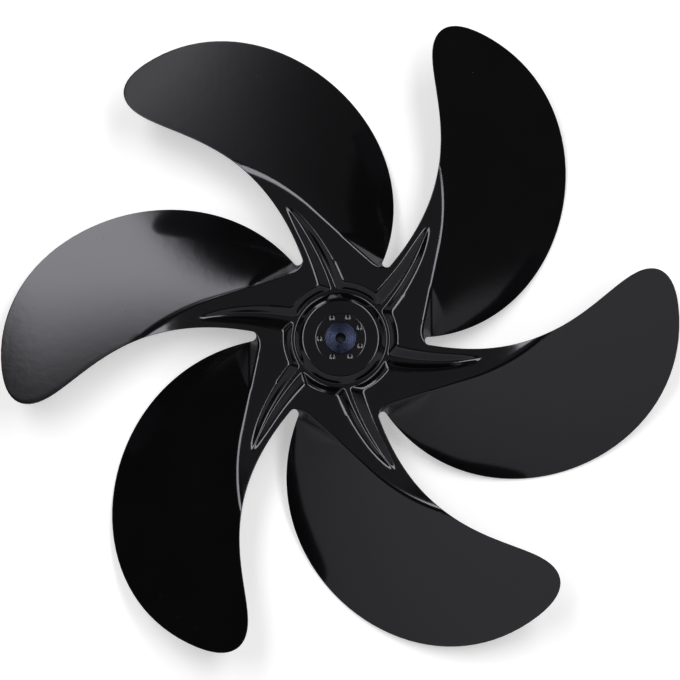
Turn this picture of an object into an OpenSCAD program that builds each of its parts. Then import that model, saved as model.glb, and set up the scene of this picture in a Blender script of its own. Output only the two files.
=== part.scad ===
// Stove fan blade: six blades, their arms and a ribbed hub pressed from one sheet,
// carried on a turned bush that presses onto the motor shaft.
// The front faces +Z, the bore's axis is Z, and z = 0 is the front of the flat hub panel.
// Directions are in degrees from +X, anticlockwise seen from the front, and are given
// for the first blade. Lengths are in millimetres.

/* [Sheet] */
// Thickness of the sheet, measured along the axis as the press closes on it
sheet_t = 0.8; // [0.5:0.1:1.4]
// Distance from the axis to the blade tips
tip_r = 90; // [82:1:100]

/* [Blade outline] */
// Direction of the blade's tip
tip_dir = 63.5; // [60:0.5:66]
// How far inside the tips the trailing corner lies
corner_drop = 7.5; // [6.5:0.5:9]
// Direction of the trailing corner
corner_dir = 72.5; // [71:0.5:74]
// Direction in which the leading edge leaves the notch
lead_dir = 8; // [5:1:11]
// Pull of the leading edge along that direction
lead_root_pull = 41; // [36:1:46]
// Pull of the leading edge round the tip
lead_tip_pull = 38.5; // [34:0.5:42]
// Direction in which the trailing edge leaves the notch
trail_dir = 50; // [47:1:53]
// Pull of the trailing edge along that direction
trail_root_pull = 36.5; // [33:0.5:40]
// Pull of the trailing edge below its corner
trail_corner_pull = 11; // [9:0.5:14]
// Pull of the outer end above the trailing corner
end_corner_pull = 3.3; // [2.5:0.1:4.5]
// Pull of the outer end beside the tip
end_tip_pull = 12.3; // [10:0.1:14]

/* [Blade pitch] */
// Distance from the axis to the straight line that the blade bends about
hinge_off = 20.6; // [19.8:0.1:21]
// Direction of that line
hinge_dir = 78; // [76:0.5:80]
// Pitch of the blade at the notch, in degrees
root_pitch = 20; // [16:1:24]
// Pitch of the blade at its tip, in degrees
tip_pitch = 22.5; // [18:0.5:27]
// Distance from the axis at which the crease leaves the straight line
crease_turn_r = 35.5; // [32:0.5:40]
// Radius of the crease beyond it
crease_bend_r = 53; // [48:1:58]

/* [Notch] */
// Distance from the axis to the centre of the notch's round end
notch_r = 23.5; // [23:0.1:24.5]
// Direction of the notch
notch_dir = -1.5; // [-3:0.5:0]
// Radius of the notch's round end
notch_end_r = 1.15; // [1:0.05:1.3]
// Distance from the axis at which the step beside the notch meets the leading edge
step_foot_r = 24.3; // [24.1:0.1:25]
// Depth of the step there
step_depth = 3; // [2:0.1:3.6]
// Distance from the axis at which the step has died out
step_end_r = 28; // [27:0.5:30]

/* [Ring and ribs] */
// Radius of the ring's middle line
ring_r = 12.6; // [12:0.1:13.4]
// Width of the flat floor of the ring
ring_crest_w = 1; // [0.7:0.1:1.6]
// Width of each sloping wall of the ring
ring_wall_w = 1.8; // [1.6:0.1:2.5]
// How far the ring, and the ribs where they join it, are pressed to the back
bead_h = 1.6; // [0.8:0.1:2.2]
// Direction in which a rib leaves the ring's middle line
rib_dir = 37; // [35:0.5:39]
// Direction in which its crest runs there
rib_heading = 48; // [45:0.5:50]
// Radius of the rib's crest
rib_bend_r = 67; // [60:1:80]
// Distance from the axis to the rib's end
rib_end_r = 38; // [34:0.5:41]
// Width of a rib's flat crest at the ring
rib_crest_w = 1.5; // [1:0.1:2]
// Width of a rib from crest to foot at the ring, on the leading side
rib_lead_w = 3; // [2.4:0.1:3.4]
// Width of a rib from crest to foot at the ring, on the trailing side
rib_trail_w = 3.6; // [3:0.1:4]
// Share of those widths that is left at the rib's end
rib_taper = 0.36; // [0.25:0.01:0.5]

/* [Seat and bush] */
// Radius of the shallow round seat pressed round the bush
seat_r = 6.7; // [6:0.1:8]
// Depth of the seat below the hub panel
seat_depth = 0.2; // [0.1:0.05:0.4]
// Radius of the bush's spigot and of the sheet's hole round it
spigot_r = 4.25; // [3.5:0.05:5]
// Height of the spigot's face above the seat
spigot_proud = 0.5; // [0.2:0.1:1]
// Radius of the bore for the motor shaft
bore_r = 1.15; // [0.75:0.05:2]
// Radius of the flange behind the sheet
flange_r = 6.5; // [5.2:0.1:7.5]
// Thickness of the flange
flange_t = 1.2; // [0.8:0.1:2]
// Radius of the bush's barrel
barrel_r = 4; // [3.2:0.1:5]
// Length of the barrel behind the flange
barrel_len = 6.5; // [4:0.5:9]
// Chamfer on the bush's edges
edge_cut = 0.3; // [0.1:0.05:0.4]

/* [Hidden] */

blades = 6;
sector = 360 / blades;
sheet_black = "#1c1c1f";
bush_blue = "#3f4463";
fine = 96;

// Rows, columns and steps that each region of the surface is divided into
step_rows = 4;
rib_rows = 4;
arm_rows = 5;
trail_rows = 7;
end_rows = 9;
cap_steps = 3;
lead_cols = 3;
blade_cols = 8;
notch_steps = 4;

function unit(a) = [cos(a), sin(a)];
function direction(p) = atan2(p.y, p.x);
function between(a, b, f) = a + (b - a) * f;
function raise(p, z) = [p.x, p.y, z];
function bezier(c, t) =
    pow(1 - t, 3) * c[0] + 3 * t * pow(1 - t, 2) * c[1] + 3 * t * t * (1 - t) * c[2] + pow(t, 3) * c[3];

// Direction, seen from the axis, of a circle's near side at the distance r
function circle_dir(centre, radius, r) =
    direction(centre) - acos((r * r + pow(norm(centre), 2) - radius * radius) / (2 * r * norm(centre)));

// Place on a curve that runs outwards where it is the distance r from the axis
function reach(curve, r, low = 0, high = 1, tries = 24) =
    let (middle = (low + high) / 2)
    tries == 0 ? middle
    : norm(bezier(curve, middle)) < r ? reach(curve, r, middle, high, tries - 1)
    : reach(curve, r, low, middle, tries - 1);

// Outline: the notch's round end, the leading edge, the outer end and the trailing edge
notch = notch_r * unit(notch_dir);
next_notch = notch_r * unit(notch_dir + sector);
notch_floor_dir = 200;
tip = tip_r * unit(tip_dir);
corner = (tip_r - corner_drop) * unit(corner_dir);
lead_root = notch + notch_end_r * unit(lead_dir + 90);
trail_root = next_notch + notch_end_r * unit(trail_dir - 90);
lead_edge = [
    lead_root,
    lead_root + lead_root_pull * unit(lead_dir),
    tip - lead_tip_pull * unit(tip_dir + 90),
    tip
];
trail_edge = [
    trail_root,
    trail_root + trail_root_pull * unit(trail_dir),
    corner - trail_corner_pull * unit(corner_dir),
    corner
];
outer_end = [
    corner,
    corner + end_corner_pull * unit(corner_dir),
    tip - end_tip_pull * unit(tip_dir - 90),
    tip
];
function lead_at(r) = bezier(lead_edge, reach(lead_edge, r));
function trail_at(r) = bezier(trail_edge, reach(trail_edge, r));

// Crease between arm and blade: a straight line, then an arc out to the trailing edge
function hinge_angle(r) = hinge_dir - asin(hinge_off / r);
function hinge_reach(a) = hinge_off / sin(hinge_dir - a);
crease_turn = crease_turn_r * unit(hinge_angle(crease_turn_r));
crease_centre = crease_turn + crease_bend_r * unit(hinge_dir + 90);
function crease_angle(r) =
    r <= crease_turn_r ? hinge_angle(r) : circle_dir(crease_centre, crease_bend_r, r);
function crease_end(low = 0, high = 1, tries = 24) =
    let (middle = (low + high) / 2)
    tries == 0 ? bezier(trail_edge, middle)
    : norm(bezier(trail_edge, middle) - crease_centre) < crease_bend_r
    ? crease_end(middle, high, tries - 1)
    : crease_end(low, middle, tries - 1);
arm_end = crease_end();
arm_end_r = norm(arm_end);

// Height of the twisted blade: its slope round the axis is the pitch at every radius
function pitch(r) = between(root_pitch, tip_pitch, (r - notch_r) / (tip_r - notch_r));
function blade_z(p) =
    let (r = norm(p))
    r * tan(pitch(r)) * (direction(p) - hinge_angle(r)) * PI / 180;
function arm_z(r) = blade_z(r * unit(crease_angle(r)));

// Ribs: a crest that follows an arc, and feet that draw in towards its end
rib_start = ring_r * unit(rib_dir);
rib_centre = rib_start + rib_bend_r * unit(rib_heading + 90);
function rib_along(r) = (r - ring_r) / (rib_end_r - ring_r);
function rib_z(r) = -bead_h * max(0, 1 - pow(max(0, rib_along(r)), 3));
function rib_offset(w, r) = asin(w * between(1, rib_taper, rib_along(r)) / r);
function rib_angle(r) = circle_dir(rib_centre, rib_bend_r, r);
function rib_lines(r) = [
    rib_angle(r) - rib_offset(rib_lead_w, r),
    rib_angle(r) - rib_offset(rib_crest_w / 2, r),
    rib_angle(r) + rib_offset(rib_crest_w / 2, r),
    rib_angle(r) + rib_offset(rib_trail_w, r)
];
rib_rise = [0, 1, 1, 0];

// Hub: rows of points round the axis, the last one along the notches and the creases
floor_point = notch + notch_end_r * unit(notch_floor_dir);
floor_r = norm(floor_point);
floor_angle = direction(floor_point);
crease_shares = [0, 0.2, 0.45, 0.75, 1];
foot_cols = len(crease_shares) + lead_cols - 1;
hub_cols = foot_cols + len(rib_rise);
ring_in = ring_r - ring_crest_w / 2;
ring_out = ring_r + ring_crest_w / 2;
ring_foot = ring_out + ring_wall_w;
function edge_angle(i) = between(floor_angle, crease_angle(floor_r), crease_shares[i]);
function edge_reach(i) =
    hinge_reach(edge_angle(i)) + (floor_r - hinge_reach(floor_angle)) * pow(1 - crease_shares[i], 3);
function edge_foot_angle(i) =
    between(crease_angle(floor_r), rib_lines(floor_r)[0], (i - len(crease_shares) + 1) / lead_cols);
function outer_angle(i) = i < len(crease_shares) ? edge_angle(i) : edge_foot_angle(i);
function hub_angles(r) =
    let (
        spread = max(0, (r - ring_foot) / (floor_r - ring_foot)),
        ribs = rib_lines(max(r, ring_in))
    )
    concat(
        [for (i = [0:foot_cols - 1])
            between(between(floor_angle, ribs[0], i / foot_cols), outer_angle(i), spread)],
        ribs
    );
function hub_row(r, z, rib) =
    let (angles = hub_angles(r))
    [for (i = [0:hub_cols - 1])
        raise(r * unit(angles[i]), z + rib * (i < foot_cols ? 0 : rib_rise[i - foot_cols]))];
hub_edge = [
    for (i = [0:hub_cols - 1])
        let (angles = hub_angles(floor_r), r = i < len(crease_shares) ? edge_reach(i) : floor_r)
        raise(r * unit(angles[i]), i < foot_cols ? 0 : rib_z(r) * rib_rise[i - foot_cols])
];
hub_rows = [
    hub_row(seat_r - seat_depth, -seat_depth, 0),
    hub_row(seat_r, 0, 0),
    hub_row(ring_in - ring_wall_w, 0, 0),
    hub_row(ring_in, -bead_h, 0),
    hub_row(ring_out, -bead_h, 0),
    hub_row(ring_foot, 0, rib_z(ring_foot)),
    hub_row(between(ring_foot, floor_r, 0.5), 0, rib_z(between(ring_foot, floor_r, 0.5))),
    hub_edge
];

// Arms: rows at a constant radius from the crease to the trailing edge
notch_side = next_notch + notch_end_r * unit(between(notch_floor_dir + sector, trail_dir + 270, 0.5));
arm_radii = concat(
    [norm(notch_side), norm(trail_root), between(norm(trail_root), step_end_r, 0.5)],
    [for (i = [0:rib_rows - 1]) between(step_end_r, rib_end_r, i / rib_rows)],
    [for (i = [0:arm_rows - 1]) between(rib_end_r, arm_end_r, i / arm_rows)]
);
step_end_row = 3;
function arm_side(i) = i == 0 ? notch_side : trail_at(arm_radii[i]);
arm_cols = lead_cols + len(rib_rise) + 1;
function arm_share(i) =
    let (
        start = crease_angle(rib_end_r),
        ribs = rib_lines(rib_end_r),
        end = direction(trail_at(rib_end_r))
    )
    ((i < lead_cols ? between(start, ribs[0], i / lead_cols) : ribs[i - lead_cols]) - start) / (end - start);
function arm_row(i) =
    let (
        r = arm_radii[i],
        start = crease_angle(r),
        side = arm_side(i),
        ribs = rib_lines(r),
        z = arm_z(r)
    )
    concat(
        [for (c = [0:arm_cols - 2])
            let (angle = r < rib_end_r
                ? (c < lead_cols ? between(start, ribs[0], c / lead_cols) : ribs[c - lead_cols])
                : between(start, direction(side), arm_share(c)))
            raise(r * unit(angle), z + (c < lead_cols ? 0 : rib_z(r) * rib_rise[c - lead_cols]))],
        [raise(side, z)]
    );
arm_points = [for (i = [0:len(arm_radii) - 1]) each arm_row(i)];

// Step beside the notch: its foot runs from the notch's floor to where the step dies out
notch_arc = [
    for (i = [1:notch_steps])
        notch + notch_end_r * unit(between(notch_floor_dir, lead_dir + 90, i / notch_steps))
];
step_foot = lead_at(step_foot_r);
step_end = step_end_r * unit(crease_angle(step_end_r));
step_plan = concat(notch_arc, [for (i = [0:step_rows - 1]) between(step_foot, step_end, i / step_rows)]);
function step_z(i) =
    i < notch_steps
    ? -step_depth * (i + 1) / (notch_steps + 1)
    : -step_depth * (1 - (i - notch_steps) / step_rows);
step_points = [for (i = [0:len(step_plan) - 1]) raise(step_plan[i], step_z(i))];

// Blade: rows at a constant radius from the leading edge to the step, crease or trailing edge,
// and a cap that closes the last of them round the tip
arm_end_t = reach(trail_edge, arm_end_r);
outer_plan = concat(
    [arm_end],
    [for (i = [1:trail_rows]) bezier(trail_edge, between(arm_end_t, 1, i / trail_rows))],
    [for (i = [1:end_rows]) bezier(outer_end, i / end_rows)]
);
outer_points = [for (p = outer_plan) raise(p, blade_z(p))];
tip_place = len(outer_points) - 1;
cap_place = tip_place - cap_steps;
crease_points = [for (i = [step_end_row:len(arm_radii) - 1]) arm_row(i)[0]];
step_rise = [for (i = [notch_steps + 1:len(step_points) - 1]) step_points[i]];
blade_ends = concat(step_rise, crease_points, [for (i = [0:cap_place - 1]) outer_points[i]]);
function blade_row(end) =
    let (
        r = norm([end.x, end.y]),
        lead = lead_at(r),
        start = direction(lead),
        finish = direction(end),
        low = blade_z(lead)
    )
    [for (c = [0:blade_cols - 1])
        raise(r * unit(between(start, finish, c / blade_cols)), between(low, end.z, c / blade_cols))];
blade_points = [for (end = blade_ends) each blade_row(end)];
cap_points = [
    for (i = [cap_place:tip_place - 1])
        let (p = lead_at(norm(outer_plan[i])))
        raise(p, blade_z(p))
];

// Numbering: the centre first, then the same list of points for each blade in turn
centre_point = [0, 0, -seat_depth];
sector_points = concat(
    [for (row = hub_rows) each row],
    arm_points,
    step_points,
    blade_points,
    cap_points,
    outer_points
);
arm_first = hub_cols * len(hub_rows);
step_first = arm_first + len(arm_points);
blade_first = step_first + len(step_points);
cap_first = blade_first + len(blade_points);
outer_first = cap_first + len(cap_points);
sector_count = len(sector_points);
function number(s, i) = 1 + (s % blades) * sector_count + i;
function turned(p, a) = [p.x * cos(a) - p.y * sin(a), p.x * sin(a) + p.y * cos(a), p.z];
front_points = concat(
    [centre_point],
    [for (s = [0:blades - 1], p = sector_points) turned(p, s * sector)]
);
front_count = len(front_points);
function below(i) = i + front_count;

function hub_numbers(s, row) =
    concat([for (i = [0:hub_cols - 1]) number(s, row * hub_cols + i)], [number(s + 1, row * hub_cols)]);
last_hub_row = len(hub_rows) - 1;
function edge_numbers(s) = hub_numbers(s, last_hub_row);
function arm_number(s, row, col) = number(s, arm_first + row * arm_cols + col);
arm_end_number = outer_first;
function arm_numbers(s, row) =
    row < 0
    ? [for (i = [len(crease_shares) - 1:hub_cols]) edge_numbers(s)[i]]
    : row == len(arm_radii)
    ? [number(s, arm_end_number)]
    : [for (col = [0:arm_cols - 1]) arm_number(s, row, col)];
function crease_numbers(s) = concat(
    [for (i = [0:len(crease_shares) - 1]) edge_numbers(s)[i]],
    [for (row = [0:step_end_row - 1]) arm_number(s, row, 0)]
);
function step_numbers(s) = [for (i = [0:len(step_points) - 1]) number(s, step_first + i)];
step_foot_number = step_first + notch_steps;
function last_step_number(s) = step_numbers(s)[len(step_points) - 1];
function blade_end_number(s, row) =
    row < len(step_rise)
    ? number(s, step_foot_number + 1 + row)
    : row < len(step_rise) + len(crease_points)
    ? arm_number(s, step_end_row + row - len(step_rise), 0)
    : number(s, outer_first + row - len(step_rise) - len(crease_points));
function cap_numbers(s) = concat(
    [for (i = [0:cap_steps - 1]) number(s, cap_first + i)],
    [for (i = [tip_place:-1:cap_place]) number(s, outer_first + i)]
);
function blade_numbers(s, row) =
    row < 0
    ? [number(s, step_foot_number)]
    : row == len(blade_ends)
    ? cap_numbers(s)
    : concat(
        [for (c = [0:blade_cols - 1]) number(s, blade_first + row * blade_cols + c)],
        [blade_end_number(s, row)]
    );

// Faces between two rows of points: squares cut along the shorter diagonal, or a fan
function gap(i, j) = norm(front_points[i] - front_points[j]);
function square(a, b, i) =
    gap(a[i + 1], b[i]) < gap(a[i], b[i + 1])
    ? [[a[i], a[i + 1], b[i]], [a[i + 1], b[i + 1], b[i]]]
    : [[a[i], a[i + 1], b[i + 1]], [a[i], b[i + 1], b[i]]];
function stitch(a, b, i = 0, j = 0) =
    i == len(a) - 1 && j == len(b) - 1 ? []
    : j == len(b) - 1 || (i < len(a) - 1 && (i + 1) * (len(b) - 1) <= (j + 1) * (len(a) - 1))
    ? concat([[a[i], a[i + 1], b[j]]], stitch(a, b, i + 1, j))
    : concat([[a[i], b[j + 1], b[j]]], stitch(a, b, i, j + 1));
function strip(a, b) =
    len(a) == len(b) ? [for (i = [0:len(a) - 2]) each square(a, b, i)] : stitch(a, b);

function sector_faces(s) = concat(
    strip([0], hub_numbers(s, 0)),
    [for (row = [0:last_hub_row - 1]) each strip(hub_numbers(s, row), hub_numbers(s, row + 1))],
    [for (row = [0:len(arm_radii)]) each strip(arm_numbers(s, row - 1), arm_numbers(s, row))],
    strip(crease_numbers(s), step_numbers(s)),
    [[for (row = [step_end_row - 1, step_end_row]) arm_number(s, row, 0), last_step_number(s)]],
    [for (row = [0:len(blade_ends)]) each strip(blade_numbers(s, row - 1), blade_numbers(s, row))]
);

// The sheet's cut edge, round one blade from its notch to the next
function sector_border(s) = concat(
    [edge_numbers(s)[0]],
    [for (i = [0:notch_steps]) step_numbers(s)[i]],
    [for (row = [0:len(blade_ends) - 1]) blade_numbers(s, row)[0]],
    cap_numbers(s),
    [for (i = [cap_place - 1:-1:0]) number(s, outer_first + i)],
    [for (row = [len(arm_radii) - 1:-1:0]) arm_number(s, row, arm_cols - 1)]
);

module pressed_sheet() {
    front = [for (s = [0:blades - 1]) each sector_faces(s)];
    border = [for (s = [0:blades - 1]) each sector_border(s)];
    back = [for (f = front) [below(f[2]), below(f[1]), below(f[0])]];
    rim = [
        for (i = [0:len(border) - 1])
            let (a = border[i], b = border[(i + 1) % len(border)])
            each [[a, b, below(b)], [a, below(b), below(a)]]
    ];
    back_points = [for (p = front_points) p - [0, 0, sheet_t]];
    polyhedron(concat(front_points, back_points), concat(front, back, rim), convexity = 10);
}

module blade_disc() {
    color(sheet_black)
        difference() {
            pressed_sheet();
            translate([0, 0, -seat_depth - 2 * sheet_t])
                cylinder(r = spigot_r, h = 4 * sheet_t, $fn = fine);
        }
}

// Bush: a spigot in the sheet's hole, a flange behind the sheet and a barrel
spigot_top = spigot_proud - seat_depth;
flange_top = -seat_depth - sheet_t;
flange_low = flange_top - flange_t;
barrel_low = flange_low - barrel_len;

module hub_bush() {
    color(bush_blue)
        rotate_extrude($fn = fine)
            polygon([
                [bore_r, barrel_low],
                [barrel_r - edge_cut, barrel_low],
                [barrel_r, barrel_low + edge_cut],
                [barrel_r, flange_low],
                [flange_r - edge_cut, flange_low],
                [flange_r, flange_low + edge_cut],
                [flange_r, flange_top],
                [spigot_r, flange_top],
                [spigot_r, spigot_top - edge_cut],
                [spigot_r - edge_cut, spigot_top],
                [bore_r, spigot_top]
            ]);
}

blade_disc();
hub_bush();
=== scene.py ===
"""Dresses the stove fan blade: the black pressed disc of six blades, its stake marks and the blued bush."""

import math

import bmesh
import bpy
import numpy as np
from mathutils import Matrix, Vector


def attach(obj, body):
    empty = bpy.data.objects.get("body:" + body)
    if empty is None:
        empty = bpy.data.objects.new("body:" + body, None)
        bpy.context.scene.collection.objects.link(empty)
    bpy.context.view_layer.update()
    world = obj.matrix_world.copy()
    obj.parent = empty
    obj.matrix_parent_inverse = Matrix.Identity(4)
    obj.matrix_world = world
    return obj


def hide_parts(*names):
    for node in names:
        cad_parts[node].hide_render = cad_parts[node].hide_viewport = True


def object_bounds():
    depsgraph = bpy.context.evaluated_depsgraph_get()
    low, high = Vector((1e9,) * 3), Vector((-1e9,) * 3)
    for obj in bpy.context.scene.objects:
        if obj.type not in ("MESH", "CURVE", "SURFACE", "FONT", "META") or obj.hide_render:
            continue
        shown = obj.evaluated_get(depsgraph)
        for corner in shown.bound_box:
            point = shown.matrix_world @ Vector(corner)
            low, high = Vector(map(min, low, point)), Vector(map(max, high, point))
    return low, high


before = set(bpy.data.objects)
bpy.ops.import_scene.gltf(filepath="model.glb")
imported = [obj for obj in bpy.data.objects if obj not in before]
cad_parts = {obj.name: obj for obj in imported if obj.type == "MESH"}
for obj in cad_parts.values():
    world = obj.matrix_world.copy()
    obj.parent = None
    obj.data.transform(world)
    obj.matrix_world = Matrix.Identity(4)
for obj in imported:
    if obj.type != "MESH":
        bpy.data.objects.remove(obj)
CAD_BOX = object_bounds()

bl_info = {
    "name": "Stove Fan Blade",
    "version": (1, 0, 0),
    "blender": (4, 5, 0),
    "location": "3D View > Sidebar > Fan Blade",
    "description": "Makes the pressed fan disc, its stake marks and its bush, and sets them on a pale table",
    "category": "Object",
}

MM = 0.001
TURN = math.pi / 180

# The pressing, in mm and degrees, with the names and values of the part's source
BLADES = 6
SECTOR = 360 / BLADES
SHEET_T = 0.8
TIP_R = 90
TIP_DIR = 63.5
CORNER_R = 82.5
CORNER_DIR = 72.5
LEAD_DIR = 8
LEAD_ROOT_PULL = 41
LEAD_TIP_PULL = 38.5
TRAIL_DIR = 50
TRAIL_ROOT_PULL = 36.5
TRAIL_CORNER_PULL = 11
END_CORNER_PULL = 3.3
END_TIP_PULL = 12.3
HINGE_OFF = 20.6
HINGE_DIR = 78
ROOT_PITCH = 20
TIP_PITCH = 22.5
CREASE_TURN_R = 35.5
CREASE_BEND_R = 53
NOTCH_R = 23.5
NOTCH_DIR = -1.5
NOTCH_END_R = 1.15
STEP_FOOT_R = 24.3
STEP_DEPTH = 3
STEP_END_R = 28
RING_R = 12.6
RING_CREST_W = 1
RING_WALL_W = 1.8
BEAD_H = 1.6
RIB_DIR = 37
RIB_HEADING = 48
RIB_BEND_R = 67
RIB_END_R = 38
RIB_CREST_W = 1.5
RIB_LEAD_W = 3
RIB_TRAIL_W = 3.6
RIB_TAPER = 0.36
CORNER_FILL = 0.5

# How far the feet of the ring and the ribs are filled, as a share of their depth
FOOT_FILL = 0.22

# The ribs narrow to a point from this radius on, and lose this share of their width
RIB_POINT_R = 29
RIB_POINT = 0.72

# Radii between which the rounding of the folds grows, and how many times its own size is added by then
FOLD_GROWTH = (26, 48, 1.7)
BEAD_GROWTH = (29, 38, 1.3)

# The seat round the bush: its radius, the width of its rim and its height, in mm
SEAT_R = 6.7
SEAT_RAMP = 0.22
SEAT_RISE = 0.028

# Limits of the step beside the notch: how far its fold runs on past the notch's floor, how narrow its
# wall may get in mm, and how many degrees past the notch it can reach
FOLD_RUN_ON = 1.5
LEAST_WALL = 0.3
STEP_REACH = 40

# The cut edge from the front face to the back: how far it stands out, as a share of the margin, and how
# deep that point lies, as a share of the sheet
CUT_EDGE = ((0.45, 0.004), (0.8, 0.03), (0.95, 0.09), (1.0, 0.2), (0.85, 0.55), (0.5, 0.85))

# Rows of the mesh, as radii in mm: single ones, or a start, a stop and a step. The rows over the step beside
# the notch follow the notch's own, so they have no start here.
SEAT_ROWS = (4.29, 4.35, 5.0, 5.7, 6.2, 6.36, 6.42, 6.48, 6.55, 6.62, 6.68, 6.74, 6.9, 7.6, 8.4, 9.0)
RING_ROWS = ((9.4, 11.6, 0.2), (11.6, 13.65, 0.1), (13.8, 16.1, 0.2))
HUB_ROWS = (16.5, 17.3, 18.2, 19.1, 20.0, 20.5)
FLOOR_ROWS = (20.8, 21.2, 21.5, 21.8, 22.0)
STEP_ROWS = (28.6, 0.3)
RIB_ROWS = (29.2, 39.9, 0.75)
PLAIN_ARM_R = 40
TIP_START_R = 80

# How far out the arm's end is looked for, in mm, and in how many steps
ARM_SEARCH = (70, 700)

# Columns across a rib's wall or floor, as shares of its width
RIB_SHARES = np.array([0, 0.1, 0.26, 0.5, 0.74, 0.9])

# Guards against a division by nothing, the distance in mm under which two radii are the same, and a step
# that takes a point safely outside the notch's floor
LEAST_R = 1e-3
LEAST_GAP = 1e-2
LEAST_FILL = 1e-6
SAME = 1e-9
JUST_OUT = 1e-6

# A sector with fewer faces than this has lost a part, and points of two sectors this close are one, in metres
LEAST_FACES = 1000
SEAM_WELD = 2e-6

# Directions of the punch marks that stake the bush, in degrees, and one mark's ridge: how far out, as a
# share of the mark's radius, and how high, in mm. The lathe leaves a pinhole in its middle: the hole's radius
# and the height round it, in mm. The mark's foot is sunk into the sheet.
STAKE_DIRS = (27, 70, 114, 184, 247, 296, 336)
MARK_RIDGE = ((0.3, 0.03), (0.46, 0.07), (0.6, 0.095), (0.74, 0.085), (0.88, 0.045), (1, 0.005))
MARK_MIDDLE = (0.02, 0.02)
MARK_FOOT = -0.2
MARK_SIDES = 24

# The bush, in mm
SPIGOT_R = 4.25
SPIGOT_TOP = 0.3
BORE_R = 1.15
FLANGE_R = 6.5
FLANGE_TOP = -1.0
FLANGE_T = 1.2
BARREL_R = 4.0
BARREL_LEN = 6.5
BUSH_SIDES = 112

# The bore's rounded mouth, from the bore outwards: how far out and how far below the face, in mm
BORE_MOUTH = ((0, 0.3), (0.1, 0.1), (0.2, 0.02))
BORE_END = 0.2

# Where the turned face starts and ends, in mm from the bore and from the spigot's side, and the number of
# points in a groove
FACE_START = 0.3
FACE_END = 0.25
GROOVE_POINTS = 6

# The face's rounded rim: its radius and how far its outside stays clear of the sheet, in mm, and the
# turns at which it has points, in degrees
RIM_R = 0.2
RIM_GAP = 0.02
RIM_TURNS = (15, 35, 55, 75, 90)

# The bush's broken corners, in mm: how far a corner is cut back on its sides, and how far in its middle
FLANGE_BREAK = (0.2, 0.06)
BARREL_BREAK = (0.25, 0.07)
END_BREAK = (0.3, 0.09)

# Patterns in the finishes, as noise: its scale and detail, or the values between which a mask fades in
CLOUD = (70, 3)
GRAIN = (2600, 2)
PEEL = (420, 2)
SPECKS = (1500, 1)
SPECK_CUT = (0.765, 0.82)
PATCHES = (150, 1)
PATCH_CUT = (0.52, 0.62)
FINE_MARKS = (9000, 3)
BROAD_MARKS = (1500, 2)
STEEL_CLOUD = (500, 3)
SHADE_CUT = (0.3, 0.7)

# The darkest and the lightest shade of each finish, as shares of its colour
LACQUER_SHADES = (0.8, 1.25)
STEEL_SHADES = (0.7, 1.35)
SPECK_COLOUR = (0.05, 0.05, 0.052, 1)
LACQUER_TINT = (0.98, 0.97, 1.06, 1)
LACQUER_IOR = 1.5

# How strongly each pattern shows in the shade, the roughness and the bumps of a finish
LACQUER_CLOUD = 0.6
STEEL_CLOUDINESS = 0.7
DUST_COVER = 0.5
SMOOTHEST = 0.8
LACQUER_ROUGHEN = 0.3
STEEL_ROUGHEN = 0.4
GRAIN_ROUGHEN = 0.02
DUST_ROUGHEN = 0.2
GRAIN_BUMP = 0.12
DUST_BUMP = 0.6
BROAD_BUMP = 0.5

# The table: half its width in metres, and the radii between which its glow sets in. Inside them the glow is
# held back as a painted shade under the hub, so the bore stays dark.
TABLE_HALF = 3.0
TABLE_ROUGHNESS = 0.9
HUB_PAINTED_SHADE_RADII = (0.006, 0.013)

# Softboxes: their height above the fan in metres, and the places of their left, right, near and far sides
# for each metre of that height
CEILING = 1.6
SOFTBOXES = (("left", -0.5, -0.2, -0.05, 0.74), ("right", 0.2, 0.5, -0.07, 0.8))

# Light cards behind the fan, in metres: their left and right sides and how far behind it they stand, and
# their lower and upper edges
CARDS = (("left", -0.45, -0.084, 0.277), ("right", 0.08, 0.24, 0.3))
CARD_HEIGHTS = (0.03, 0.3)

# Where the left card's light fades upwards, at its side and to its dim end, and how bright that end is
LEFT_TOP_FADE = (0.155, 0.29)
LEFT_SIDE_FADE = (-0.113, -0.084)
LEFT_DIM_FADE = (-0.2, -0.18)
LEFT_DIM = 0.4

# The right card's light: its brightness at its start, where that is, and the distance over which it falls
# to about a third; then the least and the most it can be
RIGHT_GLOW = 1.5
RIGHT_START = 0.098
RIGHT_FADE = 0.022
RIGHT_LEAST = 0.12
RIGHT_MOST = 1.8

# Soft panels of light round the fan: middle direction and half width round the axis, lean of their two
# ends from straight up and softness of their edges, in degrees. The front one is brighter higher up; the
# others have their brightness as the last number.
FRONT_PANEL = (-91, 77, 35, 95, 3)
FRONT_SLOPE = 0.96
FRONT_DROP = 0.06
FRONT_LEAST = 0.42
SIDE_PANELS = (
    (24, 12, 50, 76, 3, 0.3),
    (90, 128, 78, 95, 3, 0.1),
    (141, 7, 50, 76, 3, 0.3),
    (-8, 20, 38, 66, 4, 0.04),
)
OVERHEAD_CUT = (0.95, 0.98)
OVERHEAD_LIGHT = 0.17

# The camera: its lean from straight above in degrees, the height it looks at and its offset from the axis
# in mm, its sensor in mm and the end of its view in metres
CAMERA_LEAN = (6.18607, 0.58864)
CAMERA_AIM = 2.2
CAMERA_OFFSET = (0.185, 0.742)
SENSOR = 36
VIEW_END = 20

WHITE = (1, 1, 1, 1)
UP = (0, 0, 1)


# The shape of the pressing


def unit(angle):
    """The direction at an angle in degrees."""
    return np.array([math.cos(angle * TURN), math.sin(angle * TURN)])


def curve(start, pull, heading, end, end_pull, arriving, count=400):
    """Points along a curve that leaves its start in one direction and comes to its end in another. The pulls
    say how far it holds to each."""
    t = np.linspace(0, 1, count)[:, None]
    a, b, c, d = start, start + pull * unit(heading), end - end_pull * unit(arriving), end
    return (1 - t) ** 3 * a + 3 * t * (1 - t) ** 2 * b + 3 * t * t * (1 - t) * c + t**3 * d


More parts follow.
